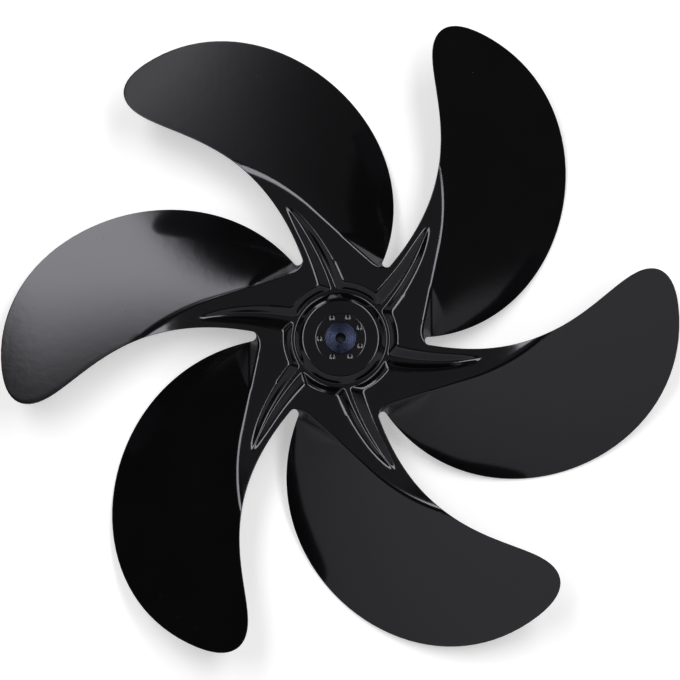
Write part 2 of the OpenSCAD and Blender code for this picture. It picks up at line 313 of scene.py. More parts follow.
def arc(centre, radius, start, end, count=90):
    """Points along an arc between two directions."""
    angles = np.linspace(start, end, count) * TURN
    return centre + radius * np.stack([np.cos(angles), np.sin(angles)], 1)


def circle_angle(centre, radius, r):
    """The direction in which a circle about a far centre crosses the radius r."""
    far = math.hypot(*centre)
    towards = math.degrees(math.atan2(centre[1], centre[0]))
    share = (r * r + far * far - radius * radius) / (2 * r * far)
    return towards - np.degrees(np.arccos(np.clip(share, -1, 1)))


class Edge:
    """One side of a blade, from the floor of its notch to its tip, drawn in by a small margin."""

    def __init__(self, outline, outward, margin):
        step = np.gradient(outline, axis=0)
        normal = np.stack([step[:, 1], -step[:, 0]], 1) * outward
        normal /= np.linalg.norm(normal, axis=1)[:, None]
        inner = outline - margin * normal
        self.r = np.maximum.accumulate(np.hypot(inner[:, 0], inner[:, 1]))
        self.angle = np.degrees(np.arctan2(inner[:, 1], inner[:, 0]))
        self.facing = np.unwrap(np.arctan2(normal[:, 1], normal[:, 0]))

    def at(self, r):
        """The edge's direction at the radius r."""
        return np.interp(r, self.r, self.angle)

    def normal(self, r):
        """The way the edge faces at the radius r."""
        facing = np.interp(r, self.r, self.facing)
        return np.stack([np.cos(facing), np.sin(facing)], -1)


class Pressing:
    """The plan and the height of one sector of the pressed sheet, in mm and degrees."""

    def __init__(self, margin):
        notch = NOTCH_R * unit(NOTCH_DIR)
        next_notch = NOTCH_R * unit(NOTCH_DIR + SECTOR)
        tip = TIP_R * unit(TIP_DIR)
        corner = CORNER_R * unit(CORNER_DIR)
        lead_root = notch + NOTCH_END_R * unit(LEAD_DIR + 90)
        trail_root = next_notch + NOTCH_END_R * unit(TRAIL_DIR - 90)
        lead = curve(lead_root, LEAD_ROOT_PULL, LEAD_DIR, tip, LEAD_TIP_PULL, TIP_DIR + 90)
        trail = curve(trail_root, TRAIL_ROOT_PULL, TRAIL_DIR, corner, TRAIL_CORNER_PULL, CORNER_DIR)
        end = curve(corner, END_CORNER_PULL, CORNER_DIR, tip, END_TIP_PULL, TIP_DIR - 90)
        lead_arc = arc(notch, NOTCH_END_R, NOTCH_DIR + 180, LEAD_DIR + 90)
        trail_arc = arc(next_notch, NOTCH_END_R, NOTCH_DIR + SECTOR + 180, TRAIL_DIR + 270)
        lead_line = np.vstack([lead_arc[:-1], lead])
        trail_line = np.vstack([trail_arc[:-1], trail[:-1], end])
        self.lead = Edge(lead_line, 1, margin)
        self.trail = Edge(trail_line, -1, margin)
        self.lead_edge = Edge(lead_line, 1, 0)
        self.floor_r = NOTCH_R - NOTCH_END_R
        turn = CREASE_TURN_R * unit(self.hinge_angle(CREASE_TURN_R))
        self.turn_centre = turn + CREASE_BEND_R * unit(HINGE_DIR + 90)
        self.rib_centre = RING_R * unit(RIB_DIR) + RIB_BEND_R * unit(RIB_HEADING + 90)
        foot = STEP_FOOT_R * unit(self.lead_edge.at(STEP_FOOT_R))
        foot_end = STEP_END_R * unit(self.hinge_angle(STEP_END_R))
        self.foot_dir = math.degrees(math.atan2(*(foot_end - foot)[::-1]))
        self.foot_off = foot @ unit(self.foot_dir - 90)
        self.foot_u, self.foot_s = self.beside_hinge(*foot)
        self.end_s = self.beside_hinge(*foot_end)[1]
        self.floor_u, self.floor_s = self.beside_hinge(*(self.floor_r * unit(NOTCH_DIR)))
        self.meet_s = self.beside_hinge(*(self.floor_r * unit(self.hinge_angle(self.floor_r))))[1]

    def hinge_angle(self, r):
        """The direction in which the straight part of the crease crosses the radius r."""
        return HINGE_DIR - np.degrees(np.arcsin(np.clip(HINGE_OFF / np.maximum(r, LEAST_R), -1, 1)))

    def beside_hinge(self, x, y):
        """How far a point lies outside the hinge line, and how far along it."""
        across, along = unit(HINGE_DIR - 90), unit(HINGE_DIR)
        return x * across[0] + y * across[1] - HINGE_OFF, x * along[0] + y * along[1]

    def crease_angle(self, r):
        """The direction of the whole crease, straight and then curved, at the radius r."""
        bent = circle_angle(self.turn_centre, CREASE_BEND_R, np.maximum(r, 1))
        return np.where(r <= CREASE_TURN_R, self.hinge_angle(r), bent)

    def blade_height(self, r, angle):
        """The height of the pitched blade, which twists from its root to its tip."""
        pitch = ROOT_PITCH + (TIP_PITCH - ROOT_PITCH) * (r - NOTCH_R) / (TIP_R - NOTCH_R)
        return r * np.tan(pitch * TURN) * (angle - self.hinge_angle(r)) * TURN

    def arm_height(self, r):
        """The height of the arm, which lies level across and follows the crease outwards."""
        return np.where(r <= CREASE_TURN_R, 0, self.blade_height(r, self.crease_angle(r)))

    def rib_lines(self, r):
        """The foot, the two crest lines and the other foot of the rib, as directions at the radius r."""
        middle = circle_angle(self.rib_centre, RIB_BEND_R, r)
        pointed = np.clip((r - RIB_POINT_R) / (RIB_END_R - RIB_POINT_R), 0, 1)
        width = 1 + (RIB_TAPER - 1) * (r - RING_R) / (RIB_END_R - RING_R)
        width = width * (1 - RIB_POINT * pointed**2)

        def off(w):
            return np.degrees(np.arcsin(np.clip(w * width / r, -1, 1)))

        return (
            middle - off(RIB_LEAD_W),
            middle - off(RIB_CREST_W / 2),
            middle + off(RIB_CREST_W / 2),
            middle + off(RIB_TRAIL_W),
        )

    def base_height(self, r, angle):
        """The hub's flat, the arm and the folded blade with the step beside the notch, with sharp folds."""
        x, y = r * np.cos(angle * TURN), r * np.sin(angle * TURN)
        across, along = self.beside_hinge(x, y)
        fade = np.clip(1 - (along - self.floor_s) / (self.meet_s - self.floor_s), 0, FOLD_RUN_ON)
        fold = self.floor_u * fade**3
        share = (along - self.foot_s) / (self.end_s - self.foot_s)
        foot_across = self.foot_u * (1 - share)
        steep = -STEP_DEPTH * (1 - share) / np.maximum(foot_across - fold, LEAST_WALL)
        wall = np.where(along < self.meet_s, steep, -STEP_DEPTH / self.foot_u) * (across - fold)
        foot_turn = np.arcsin(np.clip(self.foot_off / np.maximum(r, LEAST_R), -1, 1))
        foot_angle = self.foot_dir - np.degrees(foot_turn)
        edge_angle = self.lead_edge.at(r)
        edge_z = self.blade_height(r, edge_angle)
        foot_along = self.beside_hinge(r * np.cos(foot_angle * TURN), r * np.sin(foot_angle * TURN))[1]
        foot_z = -STEP_DEPTH * (1 - (foot_along - self.foot_s) / (self.end_s - self.foot_s))
        gap = foot_angle - edge_angle
        gap = np.where(np.abs(gap) < LEAST_GAP, LEAST_GAP, gap)
        shelf = edge_z + (foot_z - edge_z) * (angle - edge_angle) / gap
        blade = self.blade_height(r, angle)
        stepped = np.where(r < STEP_FOOT_R, wall, np.maximum(shelf, wall))
        near = (across > fold) & (angle < NOTCH_DIR + STEP_REACH)
        outer = np.minimum(self.arm_height(r), blade)
        inner = np.where(near, np.minimum(0, stepped), 0)
        return np.where(r > STEP_END_R, outer, np.where(r < HINGE_OFF, 0, inner))

    def bead_height(self, r, angle):
        """The pressed-in ring and the rib that leaves it."""
        inside = (r - (RING_R - RING_CREST_W / 2 - RING_WALL_W)) / RING_WALL_W
        outside = ((RING_R + RING_CREST_W / 2 + RING_WALL_W) - r) / RING_WALL_W
        ring = np.minimum(inside, outside)
        foot, crest, other, heel = self.rib_lines(np.clip(r, RING_R, RIB_END_R))
        fall = 1 - np.clip((r - RING_R) / (RIB_END_R - RING_R), 0, 1) ** 3
        side = np.minimum((angle - foot) / (crest - foot), (heel - angle) / (heel - other))
        rib = np.where(r >= RING_R, fall * np.minimum(side, 1), -1)
        joined = soft_maximum(np.minimum(ring, 1), rib, CORNER_FILL)
        foot_fill = FOOT_FILL * np.where(r >= RING_R, fall, 1) + LEAST_FILL
        return -BEAD_H * np.minimum(soft_maximum(joined, 0, foot_fill), 1)

    def height(self, r, angle, fold_r, bead_r):
        """The sheet's upper face with every fold rounded, by averaging over a small disc."""
        r, angle = np.atleast_1d(r).astype(float), np.atleast_1d(angle).astype(float)
        total = np.zeros(r.shape)
        base = (fold_r, FOLD_GROWTH, self.base_height)
        bead = (bead_r, BEAD_GROWTH, self.bead_height)
        for reach, (start, end, growth), form in (base, bead):
            dx, dy = disc_points(reach)
            spread = 1 + growth * np.clip((r - start) / (end - start), 0, 1)
            x = r * np.cos(angle * TURN) + dx[:, None] * spread
            y = r * np.sin(angle * TURN) + dy[:, None] * spread
            near = np.hypot(x, y)
            towards = np.degrees(np.arctan2(y, x))
            inside = np.broadcast_to(r < self.floor_r, near.shape)
            wrapped = (towards - NOTCH_DIR) % SECTOR + NOTCH_DIR
            total += form(near, np.where(inside, wrapped, towards)).mean(0)
        return total + SEAT_RISE * np.clip((SEAT_R - r) / SEAT_RAMP, 0, 1)


def soft_maximum(a, b, fill):
    """The larger of two heights, with the valley between them filled as a press would leave it."""
    near = np.maximum(fill - np.abs(a - b), 0) / fill
    return np.maximum(a, b) + near * near * fill / 4


def disc_points(reach, rings=6, per_ring=6, twist=0.3):
    """Evenly spread points in a small disc: the neighbourhood over which a fold is rounded."""
    dx, dy = [0.0], [0.0]
    for ring in range(1, rings + 1):
        around = np.arange(per_ring * ring) * 2 * math.pi / (per_ring * ring) + twist * ring
        dx.extend(reach * ring / (rings + 0.5) * np.cos(around))
        dy.extend(reach * ring / (rings + 0.5) * np.sin(around))
    return np.array(dx), np.array(dy)


def crowded(count, width, finest, both=False, even=1.02, steepest=20.0, halvings=50):
    """Shares from 0 to 1 that crowd together at the start (or at both ends), down to the finest spacing."""
    t = np.linspace(0, 1, count + 1)
    ratio = width / (count * finest) / (2 if both else 1)
    if ratio <= even:
        return t
    low, high = 1e-3, steepest
    for _ in range(halvings):
        middle = (low + high) / 2
        if math.sinh(middle) / middle < ratio:
            low = middle
        else:
            high = middle
    if both:
        half = np.linspace(0, 1, count // 2 + 1)
        curve = np.sinh(low * half) / math.sinh(low) / 2
        return np.concatenate([curve, 1 - curve[:-1][::-1]])
    return np.sinh(low * t) / math.sinh(low)


class Rows:
    """The grid of one sector: rows of constant radius, each with its own columns."""

    def __init__(self, form, margin):
        self.form = form
        self.lowest = form.floor_r - margin
        self.highest = TIP_R - margin
        reach = np.linspace(CREASE_TURN_R, *ARM_SEARCH)
        crossing = form.crease_angle(reach) - form.trail.at(reach)
        self.arm_end = float(np.interp(0, crossing, reach))

    def radii(self, notch_steps=10, tip_steps=15, arm_rows=16, blade_rows=18, arm_gap=0.25):
        """The radii of all rows, from the bush's hole to the tip."""
        lowest, highest, arm_end = self.lowest, self.highest, self.arm_end
        notch_turn = np.linspace(0, 90, notch_steps)[1:-1] * TURN
        swing = NOTCH_R - lowest
        notch_rows = np.hypot(NOTCH_R - swing * np.cos(notch_turn), swing * np.sin(notch_turn))
        tip_share = np.linspace(0, 1, tip_steps)[1:]
        step_end, step = STEP_ROWS
        parts = [
            [SPIGOT_R],
            SEAT_ROWS,
            *(np.arange(*rows) for rows in RING_ROWS),
            HUB_ROWS,
            FLOOR_ROWS,
            [lowest],
            notch_rows,
            np.arange(notch_rows[-1] + step, step_end, step),
            np.arange(*RIB_ROWS),
            np.linspace(PLAIN_ARM_R, arm_end - arm_gap, arm_rows),
            np.linspace(arm_end + arm_gap, TIP_START_R, blade_rows),
            TIP_START_R + (highest - TIP_START_R) * (1 - (1 - tip_share) ** 2),
        ]
        return np.concatenate(parts)

    def ends(self, r):
        """The directions in which a row starts and ends."""
        if r <= self.lowest + SAME:
            return NOTCH_DIR, NOTCH_DIR + SECTOR
        return float(self.form.lead.at(r)), float(self.form.trail.at(r))

    def rib_columns(self, lines, last, spaces=8):
        """Columns over the rib and on to the end of the row."""
        marks = [low + (high - low) * RIB_SHARES for low, high in zip(lines, lines[1:])]
        return [*marks, lines[-1] + (last - lines[-1]) * np.linspace(0, 1, spaces + 1)]

    def hub_columns(self, r, spaces=12):
        """Columns of a whole row of the hub."""
        lines = self.form.rib_lines(max(r, RING_R))
        first, last = NOTCH_DIR, NOTCH_DIR + SECTOR
        before = first + (lines[0] - first) * np.linspace(0, 1, spaces + 1)[:-1]
        return np.concatenate([before, *self.rib_columns(lines, last)])

    def blade_columns(self, r, crease, first, spaces=28, finest=0.2, growth=0.12):
        """Columns from the leading edge to the crease, close together at the crease."""
        width = (crease - first) * TURN * r
        finest += max(0, r - self.arm_end) * growth
        return crease - (crease - first) * crowded(spaces, width, finest)[::-1]

    def arm_columns(self, r, spaces=8, finest=0.25, clear=1):
        """Columns over the blade and the arm where the rib is, which stays clear of the trailing edge."""
        first, last = self.ends(r)
        crease = float(self.form.crease_angle(max(r, self.form.floor_r)))
        foot, crest, other, heel = self.form.rib_lines(min(r, RIB_END_R))
        heel = min(heel, last - clear)
        blade = self.blade_columns(r, crease, first)
        lead = crease + (foot - crease) * crowded(spaces, (foot - crease) * TURN * r, finest, True)[:-1]
        return np.concatenate([blade[:-1], lead, *self.rib_columns((foot, crest, other, heel), last)])

    def plain_arm_columns(self, r, spaces=10, finest=0.25):
        """Columns over the blade and the arm beyond the rib."""
        first, last = self.ends(r)
        crease = float(self.form.crease_angle(r))
        blade = self.blade_columns(r, crease, first)
        arm = crease + (last - crease) * crowded(spaces, (last - crease) * TURN * r, finest)
        return np.concatenate([blade[:-1], arm])

    def columns(self, r):
        """The directions of a row's points."""
        if r <= HUB_ROWS[-1]:
            return self.hub_columns(r)
        if r < PLAIN_ARM_R:
            return self.arm_columns(r)
        if r < self.arm_end:
            return self.plain_arm_columns(r)
        first, last = self.ends(r)
        if r < self.highest - SAME:
            return self.blade_columns(r, last, first)
        return np.array([(first + last) / 2])


def stitch(lower, upper, lower_at, upper_at):
    """Faces between two rows; where they have different columns, the nearest points are joined."""
    faces = []
    if len(lower) == len(upper):
        for k in range(len(lower) - 1):
            faces.append((lower[k], upper[k], upper[k + 1], lower[k + 1]))
        return faces
    a = (lower_at - lower_at[0]) / (lower_at[-1] - lower_at[0])
    b = (upper_at - upper_at[0]) / max(upper_at[-1] - upper_at[0], SAME)
    i = j = 0
    while i < len(lower) - 1 or j < len(upper) - 1:
        step_lower = j == len(upper) - 1 or (i < len(lower) - 1 and a[i + 1] <= b[j + 1])
        if step_lower:
            faces.append((lower[i], upper[j], lower[i + 1]))
            i += 1
        else:
            faces.append((lower[i], upper[j], upper[j + 1]))
            j += 1
    return faces


def sector_mesh(margin, fold_r, bead_r):
    """Points and faces of one blade with its sixth of the hub: front, back and cut edge."""
    form = Pressing(margin)
    grid = Rows(form, margin)
    plan, rows = [], []
    for r in grid.radii():
        angles = grid.columns(r)
        rows.append((r, angles, range(len(plan), len(plan) + len(angles))))
        plan.extend((r, angle) for angle in angles)
    plan = np.array(plan)
    top = form.height(plan[:, 0], plan[:, 1], fold_r, bead_r)
    x = plan[:, 0] * np.cos(plan[:, 1] * TURN)
    y = plan[:, 0] * np.sin(plan[:, 1] * TURN)
    count = len(plan)
    points = [np.stack([x, y, top], 1), np.stack([x, y, top - SHEET_T], 1)]
    faces = []
    for (_, low_at, low), (_, high_at, high) in zip(rows, rows[1:]):
        for face in stitch(list(low), list(high), low_at, high_at):
            faces.append(face)
            faces.append(tuple(count + k for k in reversed(face)))
    edged = [(r, ids) for r, _, ids in rows[:-1] if r >= grid.lowest - SAME]
    loop = []
    for r, ids in edged:
        normal = unit(NOTCH_DIR) if r <= grid.lowest + SAME else form.lead.normal(r)
        loop.append((ids[0], normal))
    loop.append((rows[-1][2][0], unit(TIP_DIR)))
    for r, ids in reversed(edged):
        normal = unit(NOTCH_DIR + SECTOR) if r <= grid.lowest + SAME else form.trail.normal(r)
        loop.append((ids[-1], normal))
    base = np.array([point for point, _ in loop])
    normals = np.array([normal for _, normal in loop])
    at_floor = [0, len(base) - 1]
    previous = base
    start = 2 * count
    for out_share, drop_share in CUT_EDGE:
        out, drop = margin * out_share, SHEET_T * drop_share
        px, py = x[base] + out * normals[:, 0], y[base] + out * normals[:, 1]
        pr, pa = np.hypot(px, py), np.degrees(np.arctan2(py, px))
        z = form.height(np.maximum(pr, form.floor_r + JUST_OUT), pa, fold_r, bead_r)
        z[at_floor] = top[base[at_floor]]
        points.append(np.stack([px, py, z - drop], 1))
        ring = np.arange(start, start + len(base))
        faces.extend(ring_faces(previous, ring))
        previous = ring
        start += len(base)
    faces.extend(ring_faces(previous, base + count))
    inner = rows[0][2]
    for k in range(len(inner) - 1):
        faces.append((inner[k], inner[k + 1], count + inner[k + 1], count + inner[k]))
    return np.concatenate(points) * MM, faces


def ring_faces(upper, lower):
    """Faces between two lines of points."""
    return [(upper[k], lower[k], lower[k + 1], upper[k + 1]) for k in range(len(upper) - 1)]


# Meshes and node trees


def new_object(name, points, faces):
    """A mesh object in the scene, from points in metres."""
    mesh = bpy.data.meshes.new(name)
    mesh.from_pydata([tuple(p) for p in points], [], [tuple(int(k) for k in f) for f in faces])
    mesh.validate()
    piece = bpy.data.objects.new(name, mesh)
    bpy.context.scene.collection.objects.link(piece)
    return piece


def broken_corner(at, before, after, cut, middle):
    """Three points round a corner of an outline: a short way before it, just inside it, and after it."""
    places = ((cut, 0), (middle, middle), (0, cut))
    return [
        (at[0] + before[0] * b + after[0] * a, at[1] + before[1] * b + after[1] * a) for b, a in places
    ]


def lathe(name, profile, segments):
    """A closed outline of (radius, height) points in mm, turned about the axis."""
    points, faces = [], []
    for s in range(segments):
        around = 2 * math.pi * s / segments
        points.extend((r * math.cos(around) * MM, r * math.sin(around) * MM, z * MM) for r, z in profile)
    n = len(profile)
    for s in range(segments):
        t = (s + 1) % segments
        for k in range(n):
            m = (k + 1) % n
            faces.append((s * n + k, s * n + m, t * n + m, t * n + k))
    return new_object(name, points, faces)


def outwards(mesh, weld=1e-7):
    """Merges doubles and points every face outwards."""
    form = bmesh.new()
    form.from_mesh(mesh)
    bmesh.ops.remove_doubles(form, verts=form.verts, dist=weld)
    bmesh.ops.recalc_face_normals(form, faces=form.faces)
    form.to_mesh(mesh)
    form.free()
    for polygon in mesh.polygons:
        polygon.use_smooth = True


class Tree:
    """A geometry node tree that is filled node by node."""

    def __init__(self, name, inputs):
        self.group = bpy.data.node_groups.new(name, "GeometryNodeTree")
        for label, kind, value in inputs:
            socket = self.group.interface.new_socket(label, in_out="INPUT", socket_type=kind)
            if value is not None:
                socket.default_value = value
        self.group.interface.new_socket("Geometry", in_out="OUTPUT", socket_type="NodeSocketGeometry")
        self.start = self.group.nodes.new("NodeGroupInput")
        self.end = self.group.nodes.new("NodeGroupOutput")

    def add(self, kind, settings=None, **inputs):
        """Adds a node: its settings first, then the values or sockets of its inputs."""
        node = self.group.nodes.new(kind)
        for key, value in (settings or {}).items():
            setattr(node, key, value)
        for key, value in inputs.items():
            self.put(node.inputs[key.replace("_", " ")], value)
        return node

    def put(self, socket, value):
        """Links a socket to an input, or gives the input a plain value."""
        if isinstance(value, bpy.types.NodeSocket):
            self.group.links.new(value, socket)
        else:
            socket.default_value = value

    def __getitem__(self, label):
        """The socket of one of the tree's own inputs."""
        return self.start.outputs[label]


def apply_tree(piece, tree, values):
    """Runs a geometry tree on the piece and keeps the result as its plain mesh."""
    modifier = piece.modifiers.new("Build", "NODES")
    modifier.node_group = tree.group
    for item in tree.group.interface.items_tree:
        if item.in_out == "INPUT" and item.name in values:
            modifier[item.identifier] = values[item.name]
    bpy.context.view_layer.update()
    done = bpy.data.meshes.new_from_object(piece.evaluated_get(bpy.context.evaluated_depsgraph_get()))
    piece.modifiers.remove(modifier)
    piece.data = done
    return piece


def sector_tree():
    """Repeats one sector round the axis and welds the seams."""
    tree = Tree(
        "Blade Sectors",
        (
            ("Geometry", "NodeSocketGeometry", None),
            ("Blades", "NodeSocketInt", BLADES),
            ("Turn", "NodeSocketFloat", SECTOR * TURN),
            ("Weld", "NodeSocketFloat", SEAM_WELD),
            ("Finish", "NodeSocketMaterial", None),
        ),
    )
    spots = tree.add("GeometryNodeMeshLine", Count=tree["Blades"], Offset=(0, 0, 0))
    index = tree.add("GeometryNodeInputIndex")
    turn = tree.add("ShaderNodeMath", {"operation": "MULTIPLY"})
    tree.put(turn.inputs[0], index.outputs[0])
    tree.put(turn.inputs[1], tree["Turn"])
    spin = tree.add("ShaderNodeCombineXYZ", Z=turn.outputs[0])
    copies = tree.add(
        "GeometryNodeInstanceOnPoints",
        Points=spots.outputs[0],
        Instance=tree["Geometry"],
        Rotation=spin.outputs[0],
    )
    real = tree.add("GeometryNodeRealizeInstances", Geometry=copies.outputs[0])
    weld = tree.add("GeometryNodeMergeByDistance", Geometry=real.outputs[0], Distance=tree["Weld"])
    smooth = tree.add("GeometryNodeSetShadeSmooth", Geometry=weld.outputs[0])
    finish = tree.add("GeometryNodeSetMaterial", Geometry=smooth.outputs[0], Material=tree["Finish"])
    tree.put(tree.end.inputs[0], finish.outputs[0])
    return tree


def stake_tree():
    """Sets a copy of one punched mark on each point, turned to face the axis."""
    tree = Tree(
        "Stake Marks",
        (
            ("Geometry", "NodeSocketGeometry", None),
            ("Mark", "NodeSocketObject", None),
            ("Scale", "NodeSocketFloat", 1.0),
            ("Finish", "NodeSocketMaterial", None),
        ),
    )
    mark = tree.add("GeometryNodeObjectInfo", Object=tree["Mark"])
    place = tree.add("GeometryNodeInputPosition")
    parts = tree.add("ShaderNodeSeparateXYZ", Vector=place.outputs[0])
    angle = tree.add("ShaderNodeMath", {"operation": "ARCTAN2"})
    tree.put(angle.inputs[0], parts.outputs[1])
    tree.put(angle.inputs[1], parts.outputs[0])
    spin = tree.add("ShaderNodeCombineXYZ", Z=angle.outputs[0])
    copies = tree.add(
        "GeometryNodeInstanceOnPoints",
        Points=tree["Geometry"],
        Instance=mark.outputs["Geometry"],
        Rotation=spin.outputs[0],
        Scale=tree["Scale"],
    )
    real = tree.add("GeometryNodeRealizeInstances", Geometry=copies.outputs[0])
    finish = tree.add("GeometryNodeSetMaterial", Geometry=real.outputs[0], Material=tree["Finish"])
    tree.put(tree.end.inputs[0], finish.outputs[0])
    return tree


# Finishes


class Wire:
    """A socket in a shader tree. Sums and products of wires add Math nodes."""

    def __init__(self, tree, socket=None):
        self.tree = tree
        self.socket = socket

    def node(self, kind, settings=None, inputs=None, output=0):
        """Adds any node: its settings first, then the values or wires of its sockets."""
        made = self.tree.nodes.new(kind)
        for key, value in (settings or {}).items():
            setattr(made, key, value)
        for key, value in (inputs or {}).items():
            if isinstance(value, Wire):
                self.tree.links.new(value.socket, made.inputs[key])
            else:
                made.inputs[key].default_value = value
        return Wire(self.tree, made.outputs[output] if made.outputs else None)

    def maths(self, operation, *values):
        """Adds a Math node on one or two values or wires."""
        return self.node("ShaderNodeMath", {"operation": operation}, dict(enumerate(values)))

    def __add__(self, other):
        return self.maths("ADD", self, other)

    __radd__ = __add__

    def __sub__(self, other):
        return self.maths("SUBTRACT", self, other)

    def __rsub__(self, other):
        return self.maths("SUBTRACT", other, self)

    def __mul__(self, other):
        return self.maths("MULTIPLY", self, other)

    __rmul__ = __mul__

    def __truediv__(self, other):
        return self.maths("DIVIDE", self, other)

    def __rtruediv__(self, other):
        return self.maths("DIVIDE", other, self)

    def smooth(self, low, high):
        """0 below low, 1 above high, and a soft step between."""
        return self.node(
            "ShaderNodeMapRange",
            {"interpolation_type": "SMOOTHSTEP"},
            {"Value": self, "From Min": low, "From Max": high},
        )

    def blend(self, a, b):
        """The colour a where this wire is 0 and b where it is 1."""
        factor, first, second, result = 0, 6, 7, 2
        return self.node("ShaderNodeMix", {"data_type": "RGBA"}, {factor: self, first: a, second: b}, result)

    def dot(self, vector):
        """How far this direction points along the vector."""
        return self.node("ShaderNodeVectorMath", {"operation": "DOT_PRODUCT"}, {0: self, 1: vector}, "Value")


def new_material(name):
    """A material with an empty Principled shader, its tree's wire and a place for its links."""
    material = bpy.data.materials.new(name)
    material.use_nodes = True
    shader = material.node_tree.nodes["Principled BSDF"]
    return material, shader, Wire(material.node_tree)


def noise(wire, coords, scale, detail):
    """Noise that changes in all directions."""
    return wire.node("ShaderNodeTexNoise", None, {"Vector": coords, "Scale": scale, "Detail": detail})


def ring_noise(wire, radius, scale, detail):
    """Noise that changes only with the distance from the axis."""
    values = {"W": radius, "Scale": scale, "Detail": detail}
    return wire.node("ShaderNodeTexNoise", {"noise_dimensions": "1D"}, values)


def object_place(wire):
    """The place of a point on its object."""
    return wire.node("ShaderNodeTexCoord", output="Object")


def from_axis(wire, coords):
    """How far a point lies from the fan's axis."""
    flat = wire.node("ShaderNodeVectorMath", {"operation": "MULTIPLY"}, {0: coords, 1: (1, 1, 0)})
    return wire.node("ShaderNodeVectorMath", {"operation": "LENGTH"}, {0: flat}, "Value")


def shades(colour, darkest, lightest):
    """The darkest and the lightest shade of a colour."""
    return [(*(part * share for part in colour), 1) for share in (darkest, lightest)]


def link(wire, shader, **inputs):
    """Links wires to the shader's inputs of the given names."""
    for key, value in inputs.items():
        wire.tree.links.new(value.socket, shader.inputs[key.replace("_", " ")])


def lacquer(settings):
    """Black stove lacquer on the pressed sheet: near-black, a low gloss, a fine grain and a few specks."""
    material, shader, wire = new_material("black_lacquer")
    coords = object_place(wire)
    shader.inputs["IOR"].default_value = LACQUER_IOR
    shader.inputs["Specular IOR Level"].default_value = settings.gloss
    shader.inputs["Specular Tint"].default_value = LACQUER_TINT
    cloud = noise(wire, coords, *CLOUD)
    grain = noise(wire, coords, *GRAIN)
    peel = noise(wire, coords, *PEEL)
    specks = noise(wire, coords, *SPECKS).smooth(*SPECK_CUT)
    dust = specks * noise(wire, coords, *PATCHES).smooth(*PATCH_CUT)
    shade = (cloud * LACQUER_CLOUD + grain * (1 - LACQUER_CLOUD)).smooth(*SHADE_CUT)
    paint = shade.blend(*shades(settings.colour, *LACQUER_SHADES))
    paint = (dust * DUST_COVER).blend(paint, SPECK_COLOUR)
    rough = settings.roughness * (SMOOTHEST + cloud * LACQUER_ROUGHEN)
    rough = rough + grain * GRAIN_ROUGHEN + dust * DUST_ROUGHEN
    height = peel + grain * GRAIN_BUMP - dust * DUST_BUMP
    values = {"Strength": 1, "Distance": settings.peel * MM, "Height": height}
    bump = wire.node("ShaderNodeBump", None, values)
    link(wire, shader, Base_Color=paint, Roughness=rough, Normal=bump)
    return material


def blued_steel(settings):
    """Turned steel, blued by heat: dark blue metal with fine concentric tool marks."""
    material, shader, wire = new_material("blued_steel")
    coords = object_place(wire)
    radius = from_axis(wire, coords)
    fine = ring_noise(wire, radius, *FINE_MARKS)
    broad = ring_noise(wire, radius, *BROAD_MARKS)
    cloud = noise(wire, coords, *STEEL_CLOUD)
    shade = (cloud * STEEL_CLOUDINESS + broad * (1 - STEEL_CLOUDINESS)).smooth(*SHADE_CUT)
    blue = shade.blend(*shades(settings.colour, *STEEL_SHADES))
    shader.inputs["Metallic"].default_value = 1
    rough = settings.roughness * (SMOOTHEST + cloud * STEEL_ROUGHEN)
    values = {"Strength": 1, "Distance": settings.ring_depth * MM, "Height": fine + broad * BROAD_BUMP}
    bump = wire.node("ShaderNodeBump", None, values)
    link(wire, shader, Base_Color=blue, Roughness=rough, Normal=bump)
    return material


# What a user would change


class SheetSettings(bpy.types.PropertyGroup):
    """The pressed sheet"""

    edge_margin: bpy.props.FloatProperty(
        name="Edge Margin",
        description="How far the cut edge stands out from the faces, all round the sheet",
        default=0.18 * MM,
        min=0.05 * MM,
        max=0.35 * MM,
        precision=5,
        unit="LENGTH",
    )
    fold_round: bpy.props.FloatProperty(
        name="Fold Round",
        description="How far each fold of the blades is softened",
        default=0.45 * MM,
        min=0.2 * MM,
        max=1.5 * MM,
        precision=5,
        unit="LENGTH",
    )
    bead_round: bpy.props.FloatProperty(
        name="Bead Round",
        description="How far the folds of the pressed-in ring and ribs are softened",
        default=0.28 * MM,
        min=0.1 * MM,
        max=1.5 * MM,
        precision=5,
        unit="LENGTH",
    )
    colour: bpy.props.FloatVectorProperty(
        name="Lacquer Colour",
        description="Colour of the black lacquer",
        default=(0.0014, 0.0014, 0.0016),
        min=0,
        max=1,
        subtype="COLOR",
    )
    roughness: bpy.props.FloatProperty(
        name="Lacquer Roughness",
        description="Mean roughness of the lacquer",
        default=0.1,
        min=0,
        max=1,
        subtype="FACTOR",
    )
    gloss: bpy.props.FloatProperty(
        name="Lacquer Gloss",
        description="Strength of the lacquer's reflection",
        default=0.5,
        min=0,
        max=1,
        subtype="FACTOR",
    )
    peel: bpy.props.FloatProperty(
        name="Peel Height",
        description="Height of the lacquer's fine waviness, in mm",
        default=0.008,
        min=0,
        max=0.1,
        precision=4,
    )


class StakeSettings(bpy.types.PropertyGroup):
    """The stake marks"""

    circle: bpy.props.FloatProperty(
        name="Circle Radius",
        description="Distance of the marks from the axis",
        default=5.65 * MM,
        min=5 * MM,
        max=6.2 * MM,
        precision=5,
        unit="LENGTH",
    )
    width: bpy.props.FloatProperty(
        name="Mark Radius",
        description="Radius of one punch mark",
        default=0.95 * MM,
        min=0.3 * MM,
        max=1.1 * MM,
        precision=5,
        unit="LENGTH",
    )


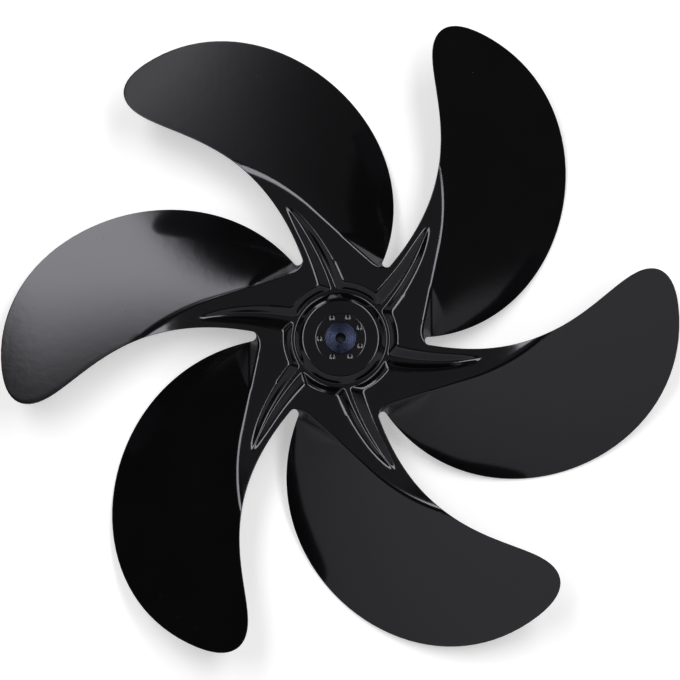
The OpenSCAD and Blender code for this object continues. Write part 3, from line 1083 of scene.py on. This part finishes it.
class BushSettings(bpy.types.PropertyGroup):
    """The turned bush"""

    groove_pitch: bpy.props.FloatProperty(
        name="Groove Pitch",
        description="Spacing of the turned grooves on the face",
        default=0.3 * MM,
        min=0.1 * MM,
        max=1 * MM,
        precision=5,
        unit="LENGTH",
    )
    groove_depth: bpy.props.FloatProperty(
        name="Groove Depth",
        description="Depth of the turned grooves on the face",
        default=0.02 * MM,
        min=0,
        max=0.1 * MM,
        precision=6,
        unit="LENGTH",
    )
    colour: bpy.props.FloatVectorProperty(
        name="Blued Colour",
        description="Colour of the blued steel",
        default=(0.017, 0.02, 0.036),
        min=0,
        max=1,
        subtype="COLOR",
    )
    roughness: bpy.props.FloatProperty(
        name="Steel Roughness",
        description="Mean roughness of the steel",
        default=0.26,
        min=0,
        max=1,
        subtype="FACTOR",
    )
    ring_depth: bpy.props.FloatProperty(
        name="Tool Mark Depth",
        description="Depth of the finest tool marks, in mm",
        default=0.01,
        min=0,
        max=0.1,
        precision=4,
    )


class StageSettings(bpy.types.PropertyGroup):
    """The table, the light and the camera"""

    ceiling_light: bpy.props.FloatProperty(
        name="Ceiling Light",
        description="Brightness of the two ceiling softboxes",
        default=6.5,
        min=0,
        max=20,
    )
    card_light: bpy.props.FloatProperty(
        name="Card Light",
        description="Brightness of the light card behind the left blade",
        default=5.2,
        min=0,
        max=20,
    )
    fill_light: bpy.props.FloatProperty(
        name="Fill Light",
        description="Brightness of the weaker panels",
        default=1.0,
        min=0,
        max=5,
    )
    room_light: bpy.props.FloatProperty(
        name="Room Light",
        description="Brightness of the room between the panels",
        default=0.035,
        min=0,
        max=1,
    )
    table_glow: bpy.props.FloatProperty(
        name="Table Glow",
        description="How much brighter the table looks than its plain colour, in the view and in reflections",
        default=0.4,
        min=0,
        max=1,
    )
    table_tone: bpy.props.FloatVectorProperty(
        name="Table Colour",
        description="Colour of the pale table",
        default=(0.85, 0.85, 0.85),
        min=0,
        max=1,
        subtype="COLOR",
    )
    camera_range: bpy.props.FloatProperty(
        name="Camera Distance",
        description="Distance from the camera to the middle of the disc",
        default=1.11065,
        min=0.3,
        max=5,
        unit="LENGTH",
    )
    view_width: bpy.props.FloatProperty(
        name="View Width",
        description="Width of the view at the disc",
        default=0.17952,
        min=0.05,
        max=1,
        precision=5,
        unit="LENGTH",
    )


# The pieces


class FANBLADE_OT_sheet(bpy.types.Operator):
    """Presses the sheet: one sector in mesh code, repeated by Geometry Nodes"""

    bl_idname = "fanblade.sheet"
    bl_label = "Pressed Sheet"

    def execute(self, context):
        settings = context.scene.fan_sheet
        sizes = (settings.edge_margin, settings.fold_round, settings.bead_round)
        points, faces = sector_mesh(*(size / MM for size in sizes))
        piece = new_object("pressed_sheet", points, faces)
        values = {"Blades": BLADES, "Turn": SECTOR * TURN, "Finish": lacquer(settings)}
        piece = apply_tree(piece, sector_tree(), values)
        if len(piece.data.polygons) < BLADES * LEAST_FACES:
            raise RuntimeError("the sheet has lost its sectors")
        outwards(piece.data)
        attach(piece, "root")
        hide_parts("blade_disc")
        return {"FINISHED"}


class FANBLADE_OT_stakes(bpy.types.Operator):
    """Punches the small stake marks round the bush"""

    bl_idname = "fanblade.stakes"
    bl_label = "Stake Marks"

    def execute(self, context):
        settings = context.scene.fan_stakes
        wide = settings.width / MM
        middle, rise = MARK_MIDDLE
        profile = [(middle, MARK_FOOT), (middle, rise)]
        profile += [(wide * share, rise) for share, rise in MARK_RIDGE]
        profile += [(wide, MARK_FOOT)]
        mark = lathe("mark", profile, MARK_SIDES)
        outwards(mark.data)
        spots = [(*(settings.circle * unit(angle)), SEAT_RISE * MM) for angle in STAKE_DIRS]
        piece = new_object("stake_marks", spots, [])
        values = {"Mark": mark, "Scale": 1.0, "Finish": bpy.data.materials["black_lacquer"]}
        piece = apply_tree(piece, stake_tree(), values)
        bpy.data.objects.remove(mark)
        if len(piece.data.polygons) < len(STAKE_DIRS):
            raise RuntimeError("the stake marks are missing")
        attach(piece, "root")
        return {"FINISHED"}


class FANBLADE_OT_bush(bpy.types.Operator):
    """Turns the bush from one closed outline, with grooves on its face"""

    bl_idname = "fanblade.bush"
    bl_label = "Turned Bush"

    def execute(self, context):
        settings = context.scene.fan_bush
        pitch, depth = settings.groove_pitch / MM, settings.groove_depth / MM
        face = np.arange(BORE_R + FACE_START, SPIGOT_R - FACE_END, pitch / GROOVE_POINTS)
        ripple = -depth * (0.5 - 0.5 * np.cos((face - face[0]) / pitch * 2 * math.pi))
        bottom = FLANGE_TOP - FLANGE_T
        end = bottom - BARREL_LEN
        rim = SPIGOT_R - (RIM_R + RIM_GAP)
        left, right, up, down = (-1, 0), (1, 0), (0, 1), (0, -1)
        profile = [(BORE_R, end + BORE_END)]
        profile += [(BORE_R + out, SPIGOT_TOP - drop) for out, drop in BORE_MOUTH]
        profile += [(r, SPIGOT_TOP + dz) for r, dz in zip(face, ripple)]
        for turn in RIM_TURNS:
            out, drop = math.sin(turn * TURN), 1 - math.cos(turn * TURN)
            profile.append((rim + RIM_R * out, SPIGOT_TOP - RIM_R * drop))
        profile += [(SPIGOT_R - RIM_GAP, FLANGE_TOP)]
        profile += broken_corner((FLANGE_R, FLANGE_TOP), left, down, *FLANGE_BREAK)
        profile += broken_corner((FLANGE_R, bottom), up, left, *FLANGE_BREAK)
        profile += broken_corner((BARREL_R, bottom), right, down, *BARREL_BREAK)
        profile += broken_corner((BARREL_R, end), up, left, *END_BREAK)
        profile += [(BORE_R + BORE_END, end)]
        piece = lathe("turned_bush", profile, BUSH_SIDES)
        outwards(piece.data)
        piece.data.materials.append(blued_steel(settings))
        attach(piece, "root")
        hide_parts("hub_bush")
        return {"FINISHED"}


# The table, the light and the camera


def panel(wire, direction, azimuth, half_width, low, high, soft):
    """The mask of a soft panel of light: its middle direction round the axis and its half width, how far its
    two ends lean from straight up, and how soft its edges are, all in degrees."""
    ahead = (math.cos(azimuth * TURN), math.sin(azimuth * TURN), 0)
    side = (-ahead[1], ahead[0], 0)
    turn = wire.maths("ARCTAN2", direction.dot(side), direction.dot(ahead))
    turn = turn.maths("ABSOLUTE", turn)
    lean = direction.dot(UP)
    lean = lean.maths("ARCCOSINE", lean)
    inside = 1 - turn.smooth((half_width - soft) * TURN, (half_width + soft) * TURN)
    inside = inside * lean.smooth((low - soft) * TURN, (low + soft) * TURN)
    return inside * (1 - lean.smooth((high - soft) * TURN, (high + soft) * TURN))


def rays(wire, *kinds):
    """1 for rays of the named kinds and 0 for all others."""
    path = wire.node("ShaderNodeLightPath").socket.node.outputs
    seen = Wire(wire.tree, path[kinds[0]])
    for kind in kinds[1:]:
        seen = seen.maths("MAXIMUM", seen, Wire(wire.tree, path[kind]))
    return seen


class FANBLADE_OT_stage(bpy.types.Operator):
    """Sets the pale table, the soft studio light and the camera"""

    bl_idname = "fanblade.stage"
    bl_label = "Table, Light and Camera"

    def execute(self, context):
        settings = context.scene.fan_stage
        self.table(settings)
        self.ceiling(context, settings)
        self.cards(settings)
        self.sky(context, settings)
        self.camera(context, settings)
        context.scene.view_settings.view_transform = "Standard"
        return {"FINISHED"}

    def table(self, settings):
        """A pale table at the height of the fan's lowest point, with a painted shade under the hub."""
        low, half = CAD_BOX[0][2], TABLE_HALF
        corners = [(-half, -half, low), (half, -half, low), (half, half, low), (-half, half, low)]
        top = new_object("table", corners, [(0, 1, 2, 3)])
        material, shader, wire = new_material("pale_table")
        shader.inputs["Base Color"].default_value = (*settings.table_tone, 1)
        shader.inputs["Roughness"].default_value = TABLE_ROUGHNESS
        shader.inputs["Specular IOR Level"].default_value = 0
        seen = rays(wire, "Is Camera Ray", "Is Glossy Ray", "Is Transmission Ray")
        # The glow fades out towards the axis. This is painted shade under the hub, and it keeps the view down
        # the bore dark.
        clear = from_axis(wire, object_place(wire)).smooth(*HUB_PAINTED_SHADE_RADII)
        strength = seen * clear * settings.table_glow
        glow = wire.node("ShaderNodeEmission", None, {"Color": WHITE, "Strength": strength})
        both = wire.node("ShaderNodeAddShader", None, {0: Wire(wire.tree, shader.outputs[0]), 1: glow})
        output = wire.tree.nodes["Material Output"]
        wire.tree.links.new(both.socket, output.inputs["Surface"])
        top.data.materials.append(material)

    def ceiling(self, context, settings):
        """Two flat softboxes over the table."""
        for side, near, far, low, high in SOFTBOXES:
            wide, deep = far - near, high - low
            data = bpy.data.lights.new(f"softbox_{side}", "AREA")
            data.shape = "RECTANGLE"
            data.size, data.size_y = wide * CEILING, deep * CEILING
            data.energy = settings.ceiling_light * math.pi * data.size * data.size_y
            lamp = bpy.data.objects.new(data.name, data)
            lamp.location = ((near + far) / 2 * CEILING, (low + high) / 2 * CEILING, CEILING)
            lamp.visible_camera = False
            context.scene.collection.objects.link(lamp)

    def cards(self, settings):
        """Two upright light cards behind the fan: the left one fades upwards, the right one to the side."""
        low, high = CARD_HEIGHTS
        for side, near, far, back in CARDS:
            corners = [(near, back, low), (far, back, low), (far, back, high), (near, back, high)]
            sheet = new_object(f"card_{side}", corners, [(0, 1, 2, 3)])
            material = bpy.data.materials.new(sheet.name)
            material.use_nodes = True
            material.node_tree.nodes.clear()
            wire = Wire(material.node_tree)
            across = wire.node("ShaderNodeSeparateXYZ", None, {0: object_place(wire)})
            height = Wire(wire.tree, across.socket.node.outputs["Z"])
            if side == "left":
                strength = (1 - height.smooth(*LEFT_TOP_FADE)) * (1 - across.smooth(*LEFT_SIDE_FADE))
                brightening = across.smooth(*LEFT_DIM_FADE) * (settings.card_light - LEFT_DIM)
                strength = strength * (brightening + LEFT_DIM)
            else:
                falling = wire.maths("POWER", math.e, (RIGHT_START - across) / RIGHT_FADE)
                strength = wire.maths("MINIMUM", RIGHT_GLOW * falling + RIGHT_LEAST, RIGHT_MOST)
            glow = wire.node("ShaderNodeEmission", None, {"Color": WHITE, "Strength": strength})
            output = material.node_tree.nodes.new("ShaderNodeOutputMaterial")
            material.node_tree.links.new(glow.socket, output.inputs["Surface"])
            sheet.data.materials.append(material)
            sheet.visible_camera = False
            sheet.visible_shadow = False
            sheet.visible_diffuse = False

    def sky(self, context, settings):
        """The room: weak panels of light for the fan's reflections, and plain white for the camera."""
        world = context.scene.world or bpy.data.worlds.new("studio")
        context.scene.world = world
        world.use_nodes = True
        tree = world.node_tree
        tree.nodes.clear()
        wire = Wire(tree)
        direction = wire.node("ShaderNodeTexCoord", output="Generated")
        lift = direction.dot(UP)
        front = lift * FRONT_SLOPE - FRONT_DROP
        light = panel(wire, direction, *FRONT_PANEL) * front.maths("MAXIMUM", front, FRONT_LEAST)
        for *where, strength in SIDE_PANELS:
            light = light + panel(wire, direction, *where) * strength
        light = light + lift.smooth(*OVERHEAD_CUT) * OVERHEAD_LIGHT
        light = light * settings.fill_light + settings.room_light
        seen = rays(wire, "Is Camera Ray", "Is Transmission Ray")
        lit = wire.node("ShaderNodeBackground", None, {"Color": WHITE, "Strength": light})
        white = wire.node("ShaderNodeBackground", None, {"Color": WHITE, "Strength": 1})
        mix = wire.node("ShaderNodeMixShader", None, {0: seen, 1: lit, 2: white})
        output = tree.nodes.new("ShaderNodeOutputWorld")
        tree.links.new(mix.socket, output.inputs["Surface"])

    def camera(self, context, settings):
        """The camera of the photograph, which looks down almost along the axis."""
        lean_x, lean_y = (lean * TURN for lean in CAMERA_LEAN)
        aside = math.sin(lean_y)
        right = Vector((math.cos(lean_y), -aside * math.sin(lean_x), aside * math.cos(lean_x)))
        up = Vector((0, math.cos(lean_x), math.sin(lean_x)))
        back = right.cross(up)
        data = bpy.data.cameras.new("camera")
        data.sensor_width = SENSOR
        data.lens = SENSOR * settings.camera_range / settings.view_width
        data.clip_end = VIEW_END
        eye = bpy.data.objects.new("camera", data)
        off_right, off_up = CAMERA_OFFSET
        spot = Vector((0, 0, CAMERA_AIM * MM)) + back * settings.camera_range
        spot = spot - right * off_right * MM - up * off_up * MM
        turned = Matrix((right, up, back)).transposed().to_4x4()
        eye.matrix_world = Matrix.Translation(spot) @ turned
        context.scene.collection.objects.link(eye)
        context.scene.camera = eye


class FANBLADE_PT_panel(bpy.types.Panel):
    """The sidebar panel with every setting and a button for each operator"""

    bl_label = "Stove Fan Blade"
    bl_idname = "FANBLADE_PT_panel"
    bl_space_type = "VIEW_3D"
    bl_region_type = "UI"
    bl_category = "Fan Blade"

    def draw(self, context):
        """Lays out the settings above their operator's button."""
        scene = context.scene
        groups = (
            (FANBLADE_OT_sheet, scene.fan_sheet),
            (FANBLADE_OT_stakes, scene.fan_stakes),
            (FANBLADE_OT_bush, scene.fan_bush),
            (FANBLADE_OT_stage, scene.fan_stage),
        )
        for operator, settings in groups:
            box = self.layout.box()
            for name in settings.__annotations__:
                box.prop(settings, name)
            box.operator(operator.bl_idname)


CLASSES = (
    SheetSettings,
    StakeSettings,
    BushSettings,
    StageSettings,
    FANBLADE_OT_sheet,
    FANBLADE_OT_stakes,
    FANBLADE_OT_bush,
    FANBLADE_OT_stage,
    FANBLADE_PT_panel,
)
GROUPS = {
    "fan_sheet": SheetSettings,
    "fan_stakes": StakeSettings,
    "fan_bush": BushSettings,
    "fan_stage": StageSettings,
}


def register():
    """Adds the classes and the settings to Blender."""
    for cls in CLASSES:
        bpy.utils.register_class(cls)
    for name, group in GROUPS.items():
        setattr(bpy.types.Scene, name, bpy.props.PointerProperty(type=group))


def unregister():
    """Takes the settings and the classes out again."""
    for name in GROUPS:
        delattr(bpy.types.Scene, name)
    for cls in reversed(CLASSES):
        bpy.utils.unregister_class(cls)


def main():
    """Builds the fan and the stage."""
    register()
    bpy.ops.fanblade.sheet()
    bpy.ops.fanblade.stakes()
    bpy.ops.fanblade.bush()
    bpy.ops.fanblade.stage()


if __name__ == "__main__":
    main()
